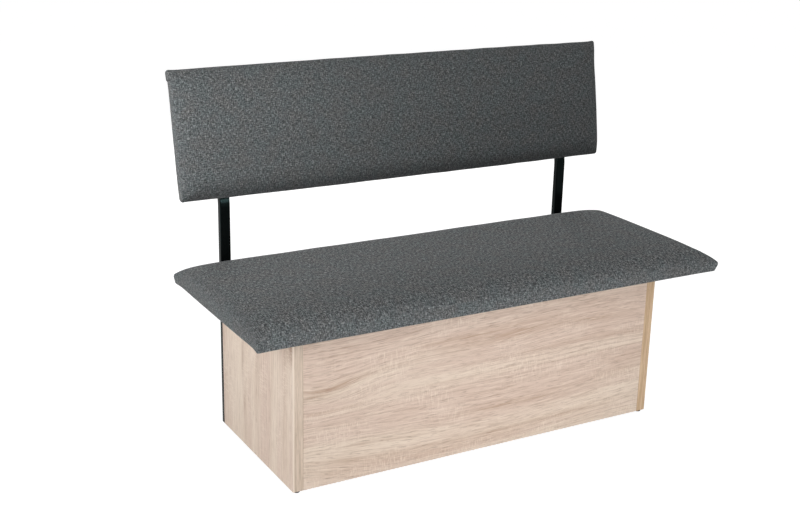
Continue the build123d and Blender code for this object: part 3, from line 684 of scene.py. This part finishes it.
def outline_ring(pad, along, across, inset):
    """One ring of points, inset from the outline, its corners rounded in plan."""
    half_x, half_y = pad.length / 2 - inset, pad.width / 2 - inset
    x = np.concatenate((along, np.ones(len(across) - 1), along[-2::-1], -np.ones(len(across) - 2))) * half_x
    y = np.concatenate((-np.ones(len(along)), across[1:], np.ones(len(along) - 1), across[-2:0:-1])) * half_y
    radius = pad.radius
    out_x = np.abs(x) - (half_x - radius)
    out_y = np.abs(y) - (half_y - radius)
    corner = (out_x > 0) & (out_y > 0)
    stretch = np.where(corner, np.maximum(out_x, out_y) / np.maximum(np.hypot(out_x, out_y), 1e-9), 1.0)
    x = np.where(corner, np.sign(x) * (half_x - radius + out_x * stretch), x)
    y = np.where(corner, np.sign(y) * (half_y - radius + out_y * stretch), y)
    return x, y


def cushion_mesh(name, pad, fineness):
    """A closed quad mesh: hem rings below, wall rings, rings of the upper face and its middle grid."""
    along, across = spread(pad.length, fineness), spread(pad.width, fineness)
    rings = []
    for inset in fineness.hem:
        x, y = outline_ring(pad, along, across, inset * MM)
        rings.append((x, y, np.zeros_like(x)))
    for share, inset in fineness.wall:
        x, y = outline_ring(pad, along, across, inset * MM)
        rings.append((x, y, share * pad.wall_height(x, y)))
    for inset in fineness.top:
        x, y = outline_ring(pad, along, across, inset * MM)
        rings.append((x, y, pad.top_height(x, y)))
    count = len(rings[0][0])
    points = [np.stack(ring, axis=-1) for ring in rings]
    faces = []
    for lower in range(len(rings) - 1):
        first, second = lower * count, (lower + 1) * count
        for k in range(count):
            n = (k + 1) % count
            faces.append((first + k, first + n, second + n, second + k))
    next_point = len(rings) * count
    last_ring = (len(rings) - 1) * count
    for ring, inset, upward in ((last_ring, fineness.top[-1], True), (0, fineness.hem[0], False)):
        grid_x, grid_y = np.meshgrid(along * (pad.length / 2 - inset * MM),
                                     across * (pad.width / 2 - inset * MM))
        inner_x, inner_y = grid_x[1:-1, 1:-1], grid_y[1:-1, 1:-1]
        inner_z = pad.top_height(inner_x, inner_y) if upward else np.zeros_like(inner_x)
        points.append(np.stack((inner_x, inner_y, inner_z), axis=-1).reshape(-1, 3))
        grid = grid_indices(len(along), len(across), ring, next_point)
        next_point += inner_x.size
        for j in range(len(across) - 1):
            for i in range(len(along) - 1):
                face = (grid[j, i], grid[j, i + 1], grid[j + 1, i + 1], grid[j + 1, i])
                faces.append(face if upward else face[::-1])
    points = np.concatenate(points)
    points[:, 0], points[:, 1] = pad.draw_in(*points.T)
    mesh = bpy.data.meshes.new(name)
    mesh.from_pydata([tuple(p) for p in points], [], [tuple(int(i) for i in face) for face in faces])
    mesh.validate()
    return mesh


def grid_indices(columns, rows, ring, inner):
    """Point numbers of a grid whose border is a ring of points, and whose inside follows row by row."""
    grid = np.zeros((rows, columns), dtype=int)
    grid[0, :] = ring + np.arange(columns)
    grid[1:, -1] = ring + columns + np.arange(rows - 1)
    grid[-1, -2::-1] = ring + columns + rows - 1 + np.arange(columns - 1)
    grid[-2:0:-1, 0] = ring + 2 * columns + rows - 2 + np.arange(rows - 2)
    grid[1:-1, 1:-1] = inner + np.arange((rows - 2) * (columns - 2)).reshape(rows - 2, columns - 2)
    return grid


def read_points(mesh):
    flat = np.empty(len(mesh.vertices) * 3)
    mesh.vertices.foreach_get("co", flat)
    return flat.reshape(-1, 3)


def write_points(mesh, points):
    mesh.vertices.foreach_set("co", points.reshape(-1))
    mesh.update()


def swell(pad, cap):
    """Where the foam presses the cover out: points of a coarse cover, and how far each one moves.

    A short cloth simulation blows up a coarse copy of the cushion, with its board side held. No point
    moves further than the cap.
    """
    piece = new_piece("swelling", cushion_mesh("swelling", pad, COARSE))
    start = read_points(piece.data)
    held = piece.vertex_groups.new(name="held")
    held.add([int(i) for i in np.nonzero(start[:, 2] < 1.0 * MM)[0]], 1.0, "REPLACE")
    cloth = piece.modifiers.new("cloth", "CLOTH")
    settings = cloth.settings
    settings.quality = 5
    settings.mass = 0.25
    settings.tension_stiffness = COVER_STIFFNESS
    settings.compression_stiffness = COVER_STIFFNESS
    settings.shear_stiffness = COVER_STIFFNESS / 3
    settings.use_pressure = True
    settings.uniform_pressure_force = FOAM_PRESSURE
    settings.vertex_group_mass = "held"
    settings.effector_weights.gravity = 0
    cloth.collision_settings.use_collision = False
    cloth.collision_settings.use_self_collision = False
    cloth.point_cache.frame_start = 1
    cloth.point_cache.frame_end = SIMULATION_FRAMES
    for frame_number in range(1, SIMULATION_FRAMES + 1):
        bpy.context.scene.frame_set(frame_number)
    shape = piece.evaluated_get(bpy.context.evaluated_depsgraph_get()).to_mesh()
    moved = read_points(shape) - start
    bpy.data.objects.remove(piece)
    bpy.context.scene.frame_set(1)
    size = np.linalg.norm(moved, axis=1, keepdims=True)
    return start, moved * cap * np.tanh(size / cap) / np.maximum(size, 1e-9)


def follow(piece, start, moved):
    """Move every point of the fine cushion as the coarse points near it moved."""
    tree = KDTree(len(start))
    for i, point in enumerate(start):
        tree.insert(point, i)
    tree.balance()
    points = read_points(piece.data)
    for i, point in enumerate(points):
        near = tree.find_n(point, 6)
        weights = np.array([1 / (distance + 4 * MM) ** 2 for _, _, distance in near])
        points[i] += weights @ moved[[k for _, k, _ in near]] / weights.sum()
    write_points(piece.data, points)


def soft_waves(x, y, seed, sizes):
    """A smooth uneven field from a few plane waves, within about one unit either way."""
    rng = np.random.default_rng(seed)
    total = np.zeros_like(x)
    for size in sizes:
        angle = rng.uniform(0, 2 * math.pi)
        phase = rng.uniform(0, 2 * math.pi)
        total += np.sin(2 * math.pi * (x * math.cos(angle) + y * math.sin(angle)) / size + phase)
    return total / len(sizes)


def hand_made(piece, pad, seed):
    """Uneven stuffing under the upper face and a slightly wavy edge, as staples leave it."""
    lumps, ripple, ripple_reach = 0.8 * MM, 0.6 * MM, 20 * MM
    x, y, z = read_points(piece.data).T
    from_side, from_end = pad.width / 2 - np.abs(y), pad.length / 2 - np.abs(x)
    up = np.clip(z / pad.crown, 0, 1)
    z = z + lumps * soft_waves(x, y, seed, (0.46, 0.31, 0.23, 0.17, 0.13)) * up ** 2
    wave = soft_waves(x, y, seed + 1, (0.21, 0.13, 0.083, 0.061))
    low = np.clip(z / (4 * MM), 0, 1)
    y = y + np.sign(y) * ripple * wave * np.exp(-from_side / ripple_reach) * low
    x = x + np.sign(x) * ripple * wave * np.exp(-from_end / ripple_reach) * low
    write_points(piece.data, np.stack((x, y, z), axis=-1))


def corner_fold(piece, pad, end, side, on_side, place, depth, width, reach):
    """A folded pleat by a corner: its free edge is a step down the wall, fuller towards the corner.

    end and side pick the corner (-1 or 1). on_side tells whether the fold lies on the long side or
    on the end. place is how far the free edge is from the corner, depth is the step's height, width
    is how far it takes to fade, and reach is how high up the wall it goes.
    """
    x, y, z = read_points(piece.data).T
    from_end, from_side = pad.length / 2 - end * x, pad.width / 2 - side * y
    along, inward = (from_end, from_side) if on_side else (from_side, from_end)
    down = np.clip(1 - z / reach, 0, 1) ** 0.5
    edge = place - 0.1 * z
    full = 1 / (1 + np.exp(np.clip((along - edge) / (0.45 * MM), None, 60)))
    fade = np.exp(-np.clip(edge - along, 0, None) / width)
    groove = np.exp(-(((along - edge - 1.4 * MM) / (1.3 * MM)) ** 2))
    near_wall = np.exp(-np.clip(inward, 0, None) / (7 * MM)) * np.clip(z / (1.2 * MM), 0, 1)
    move = near_wall * down * (depth * full * fade - 0.55 * depth * groove)
    if on_side:
        y = y + side * move
    else:
        x = x + end * move
    write_points(piece.data, np.stack((x, y, z), axis=-1))


def finish_cushion(piece, place, material):
    piece.data.transform(place)
    piece.data.polygons.foreach_set("use_smooth", [True] * len(piece.data.polygons))
    piece.data.materials.append(material)
    finer = piece.modifiers.new("finer", "SUBSURF")
    finer.levels = finer.render_levels = 1


def new_piece(name, mesh):
    piece = bpy.data.objects.new(name, mesh)
    bpy.context.collection.objects.link(piece)
    return piece


# Ears by corner (end, side), as Pad tells them
SEAT_EARS = {(-1, -1): (6.0 * MM, 2.4 * MM, 0.8, 24 * MM), (1, -1): (10.5 * MM, 4.2 * MM, 0.35, 24 * MM),
             (-1, 1): (7.0 * MM, 2.0 * MM, 0.6, 24 * MM), (1, 1): (1.0 * MM, 0.0, 0.0, 24 * MM)}
BACKREST_EARS = {(-1, 1): (6.0 * MM, 0.0, 0.7, 26 * MM), (1, 1): (5.0 * MM, 0.4 * MM, 0.7, 45 * MM),
                 (-1, -1): (-0.5 * MM, -0.5 * MM, 1.0, 20 * MM),
                 (1, -1): (-2.5 * MM, -0.5 * MM, 1.0, 24 * MM)}

# Folds: end, side and on_side, then place, depth, width and reach in millimetres
SEAT_FOLDS = ((-1, -1, True, 7, 3.2, 30, 40), (1, -1, True, 8, 1.3, 20, 26),
              (-1, 1, True, 9, 1.5, 20, 26), (1, 1, False, 8, 1.5, 20, 26))
BACKREST_FOLDS = ((-1, 1, False, 26, 2.4, 40, 60), (1, 1, False, 9, 1.2, 20, 26),
                  (-1, -1, True, 9, 1.4, 20, 26), (1, -1, True, 8, 1.2, 20, 26))

# How far the cushions lie to the left of the solids, and the backrest above them, as in the photograph
SEAT_SHIFT = 3.0 * MM
BACKREST_SHIFT = 2.4 * MM
BACKREST_LIFT = 0.8 * MM


def seat_cushion():
    """The padded lid, flatter at its corners, with a pleat beside each of them."""
    low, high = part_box("seat_cover")
    pad = Pad(length=high[0] - low[0], width=high[1] - low[1], corner=20.5 * MM, edge=24.5 * MM,
              crown=high[2] - low[2] - 1.0 * MM, radius=4.0 * MM, side_pull=0.8 * MM, end_pull=-2.0 * MM,
              side_reach=14.5 * MM, end_reach=10.5 * MM, ears=SEAT_EARS)
    piece = new_piece("seat_cushion", cushion_mesh("seat_cushion", pad, FINE))
    follow(piece, *swell(pad, cap=2.5 * MM))
    hand_made(piece, pad, seed=11)
    for end, side, on_side, place, depth, width, reach in SEAT_FOLDS:
        corner_fold(piece, pad, end, side, on_side, place * MM, depth * MM, width * MM, reach * MM)
    place = Matrix.Translation(((low[0] + high[0]) / 2 - SEAT_SHIFT, (low[1] + high[1]) / 2, low[2]))
    finish_cushion(piece, place, seat_weave)
    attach(piece, "lid")
    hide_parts("seat_cover", "seat_foam")


def backrest_cushion():
    """The padded backrest, tilted with the uprights, with fuller folds at its upper corners."""
    cover = [v.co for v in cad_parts["backrest_cover"].data.vertices]
    up = Vector((0, math.sin(BACKREST_TILT), math.cos(BACKREST_TILT)))
    out = Vector((0, -math.cos(BACKREST_TILT), math.sin(BACKREST_TILT)))
    foot, head = min(c.dot(up) for c in cover), max(c.dot(up) for c in cover)
    rear, face = min(c.dot(out) for c in cover), max(c.dot(out) for c in cover)
    low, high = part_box("backrest_cover")
    pad = Pad(length=high[0] - low[0], width=head - foot + 2.0 * MM, corner=18.0 * MM, edge=20.5 * MM,
              crown=face - rear - 1.0 * MM, radius=6.0 * MM, side_pull=-1.8 * MM, end_pull=-1.5 * MM,
              side_reach=19.0 * MM, end_reach=15.0 * MM, ears=BACKREST_EARS)
    piece = new_piece("backrest_cushion", cushion_mesh("backrest_cushion", pad, FINE))
    follow(piece, *swell(pad, cap=2.0 * MM))
    hand_made(piece, pad, seed=23)
    for end, side, on_side, place, depth, width, reach in BACKREST_FOLDS:
        corner_fold(piece, pad, end, side, on_side, place * MM, depth * MM, width * MM, reach * MM)
    middle = up * ((foot + head) / 2 + BACKREST_LIFT) + out * rear + Vector((-BACKREST_SHIFT, 0, 0))
    turn = Matrix.Rotation(math.pi / 2 - BACKREST_TILT, 4, "X")
    finish_cushion(piece, Matrix.Translation(middle) @ turn, backrest_weave)
    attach(piece, "base")
    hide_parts("backrest_cover", "backrest_foam")


# Staples

def staples(name, centre, along, across, outward, half_long, half_wide, tube, body):
    """Wire staples round the edge of a dust sheet, none of them under an upright's tube.

    centre lies on the sheet's outer face, and along, across and outward are its directions. tube is
    how far the tubes are from the middle, or 0 where there are none. Each staple is three rings of
    points, told by their height over the sheet and their inset in millimetres.
    """
    rng = np.random.default_rng(5)
    long_end_gap, wide_end_gap, tube_gap = 16 * MM, 24 * MM, 20 * MM
    rings = ((-0.1, 0.0), (0.25, 0.0), (0.45, 0.2))
    long_places = np.linspace(-half_long + long_end_gap, half_long - long_end_gap, STAPLES_LONG)
    wide_places = np.linspace(-half_wide + wide_end_gap, half_wide - wide_end_gap, STAPLES_WIDE)
    places = [(run, side * half_wide, 0.0) for run in long_places for side in (-1, 1)]
    places += [(end * half_long, run, math.pi / 2) for run in wide_places for end in (-1, 1)]
    points, faces = [], []
    for run, cross, angle in places:
        if tube and abs(abs(run) - tube) < tube_gap:
            continue
        angle += rng.uniform(-0.14, 0.14)
        run += rng.uniform(-3, 3) * MM
        cross += rng.uniform(-1, 1) * MM
        middle = centre + along * run + across * cross
        ahead = along * math.cos(angle) + across * math.sin(angle)
        aside = outward.cross(ahead)
        first = len(points)
        for low, inset in rings:
            for s, t in ((-1, -1), (1, -1), (1, 1), (-1, 1)):
                points.append(middle + ahead * s * (STAPLE_HALF_LENGTH - inset * MM)
                              + aside * t * (STAPLE_HALF_WIRE - inset * MM) + outward * low * MM)
        for ring in (first, first + 4):
            faces += [(ring + k, ring + (k + 1) % 4, ring + 4 + (k + 1) % 4, ring + 4 + k) for k in range(4)]
        faces += [(first + 3, first + 2, first + 1, first), tuple(range(first + 8, first + 12))]
    mesh = bpy.data.meshes.new(name)
    mesh.from_pydata([tuple(p) for p in points], [], faces)
    mesh.materials.append(zinc)
    piece = new_piece(name, mesh)
    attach(piece, body)


def seat_staples():
    """Staples of the sheet under the seat."""
    low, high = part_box("seat_dust_sheet")
    centre = Vector(((low[0] + high[0]) / 2, (low[1] + high[1]) / 2, low[2]))
    staples("seat_staples", centre, Vector((1, 0, 0)), Vector((0, -1, 0)), Vector((0, 0, -1)),
            (high[0] - low[0]) / 2 - STAPLE_INSET, (high[1] - low[1]) / 2 - STAPLE_INSET, 0.0, "lid")


def backrest_staples():
    """Staples of the sheet behind the backrest."""
    sheet = [v.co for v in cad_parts["backrest_dust_sheet"].data.vertices]
    up = Vector((0, math.sin(BACKREST_TILT), math.cos(BACKREST_TILT)))
    back = Vector((0, math.cos(BACKREST_TILT), -math.sin(BACKREST_TILT)))
    foot, head = min(c.dot(up) for c in sheet), max(c.dot(up) for c in sheet)
    rear = max(c.dot(back) for c in sheet)
    half_long = max(c.x for c in sheet) - STAPLE_INSET
    staples("backrest_staples", up * ((foot + head) / 2) + back * rear, Vector((-1, 0, 0)), up, back,
            half_long, (head - foot) / 2 - STAPLE_INSET, UPRIGHT_PLACE, "base")


# Room

def pale_floor():
    """A plain pale floor. The camera sees it white, apart from the bench's soft shadow."""
    g = Graph("pale_floor")
    path = g.node("LightPath")
    seen = g.math("MAXIMUM", path.outputs["Is Camera Ray"], path.outputs["Is Glossy Ray"])
    seen = g.math("MAXIMUM", seen, path.outputs["Is Transmission Ray"])
    dust = g.noise(g.node("TexCoord").outputs["Object"], scale=3.0, detail=3.0)
    g.finish(g.mix((0.6, 0.6, 0.6), (0.64, 0.64, 0.64), dust), 0.9, Specular_IOR_Level=0.0)
    shaded = g.node("BsdfDiffuse")
    shaded.inputs["Color"].default_value = (0.3, 0.3, 0.3, 1)
    glow = g.node("Emission")
    glow.inputs["Color"].default_value = (1, 1, 1, 1)
    glow.inputs["Strength"].default_value = FLOOR_GLOW
    white = g.node("AddShader")
    g.tree.links.new(shaded.outputs[0], white.inputs[0])
    g.tree.links.new(glow.outputs[0], white.inputs[1])
    both = g.node("MixShader")
    g.set(both.inputs[0], seen)
    g.tree.links.new(g.shader.outputs[0], both.inputs[1])
    g.tree.links.new(white.outputs[0], both.inputs[2])
    g.tree.links.new(both.outputs[0], g.output.inputs["Surface"])
    size = FLOOR_HALF_SIZE
    mesh = bpy.data.meshes.new("floor")
    corners = [(-size, -size, 0), (size, -size, 0), (size, size, 0), (-size, size, 0)]
    mesh.from_pydata(corners, [], [(0, 1, 2, 3)])
    mesh.materials.append(g.material)
    floor = bpy.data.objects.new("floor", mesh)
    bpy.context.collection.objects.link(floor)


def soft_world(level):
    """Even soft light from all round, and plain white where the camera sees past the floor."""
    world = bpy.data.worlds.new("studio")
    bpy.context.scene.world = world
    world.use_nodes = True
    tree = world.node_tree
    tree.nodes.clear()
    path = tree.nodes.new("ShaderNodeLightPath")
    seen = path.outputs["Is Camera Ray"]
    for kind in ("Is Glossy Ray", "Is Transmission Ray"):
        either = tree.nodes.new("ShaderNodeMath")
        either.operation = "MAXIMUM"
        tree.links.new(seen, either.inputs[0])
        tree.links.new(path.outputs[kind], either.inputs[1])
        seen = either.outputs[0]
    light = tree.nodes.new("ShaderNodeBackground")
    light.inputs["Strength"].default_value = level
    white = tree.nodes.new("ShaderNodeBackground")
    white.inputs["Strength"].default_value = 1.0
    white.inputs["Color"].default_value = (1, 1, 1, 1)
    both = tree.nodes.new("ShaderNodeMixShader")
    tree.links.new(seen, both.inputs[0])
    tree.links.new(light.outputs[0], both.inputs[1])
    tree.links.new(white.outputs[0], both.inputs[2])
    out = tree.nodes.new("ShaderNodeOutputWorld")
    tree.links.new(both.outputs[0], out.inputs["Surface"])


def softbox(name, place, target, size, power, spread_degrees):
    """A flat lamp that looks at a point of the bench. A small spread acts as a honeycomb grid."""
    lamp = bpy.data.lights.new(name, "AREA")
    lamp.shape = "RECTANGLE"
    lamp.size, lamp.size_y = size
    lamp.spread = math.radians(spread_degrees)
    lamp.energy = power
    holder = bpy.data.objects.new(name, lamp)
    holder.location = place
    holder.rotation_euler = (Vector(target) - Vector(place)).to_track_quat("-Z", "Y").to_euler()
    bpy.context.collection.objects.link(holder)


def photo_camera():
    """The camera at the photograph's place, with its turn, dip and slight roll."""
    forward = Vector((math.sin(CAMERA_YAW) * math.cos(CAMERA_PITCH),
                      math.cos(CAMERA_YAW) * math.cos(CAMERA_PITCH), -math.sin(CAMERA_PITCH)))
    level = Vector((math.cos(CAMERA_YAW), -math.sin(CAMERA_YAW), 0))
    upward = level.cross(forward)
    right = math.cos(CAMERA_ROLL) * level + math.sin(CAMERA_ROLL) * upward
    up = -math.sin(CAMERA_ROLL) * level + math.cos(CAMERA_ROLL) * upward
    turn = Matrix((right, up, -forward)).transposed().to_4x4()
    camera = bpy.data.cameras.new("camera")
    camera.sensor_width = SENSOR_WIDTH
    camera.sensor_fit = "HORIZONTAL"
    camera.lens = FOCAL_PIXELS / PICTURE_WIDTH * SENSOR_WIDTH
    holder = bpy.data.objects.new("camera", camera)
    holder.matrix_world = Matrix.Translation(CAMERA_PLACE) @ turn
    bpy.context.collection.objects.link(holder)
    bpy.context.scene.camera = holder


dress_nodes()
photo_camera()
pale_floor()
soft_world(WORLD_LEVEL)
for lamp_name, lamp_facts in LAMPS.items():
    softbox(lamp_name, *lamp_facts)
seat_cushion()
backrest_cushion()
seat_staples()
backrest_staples()

bpy.context.scene.view_settings.view_transform = "Standard"
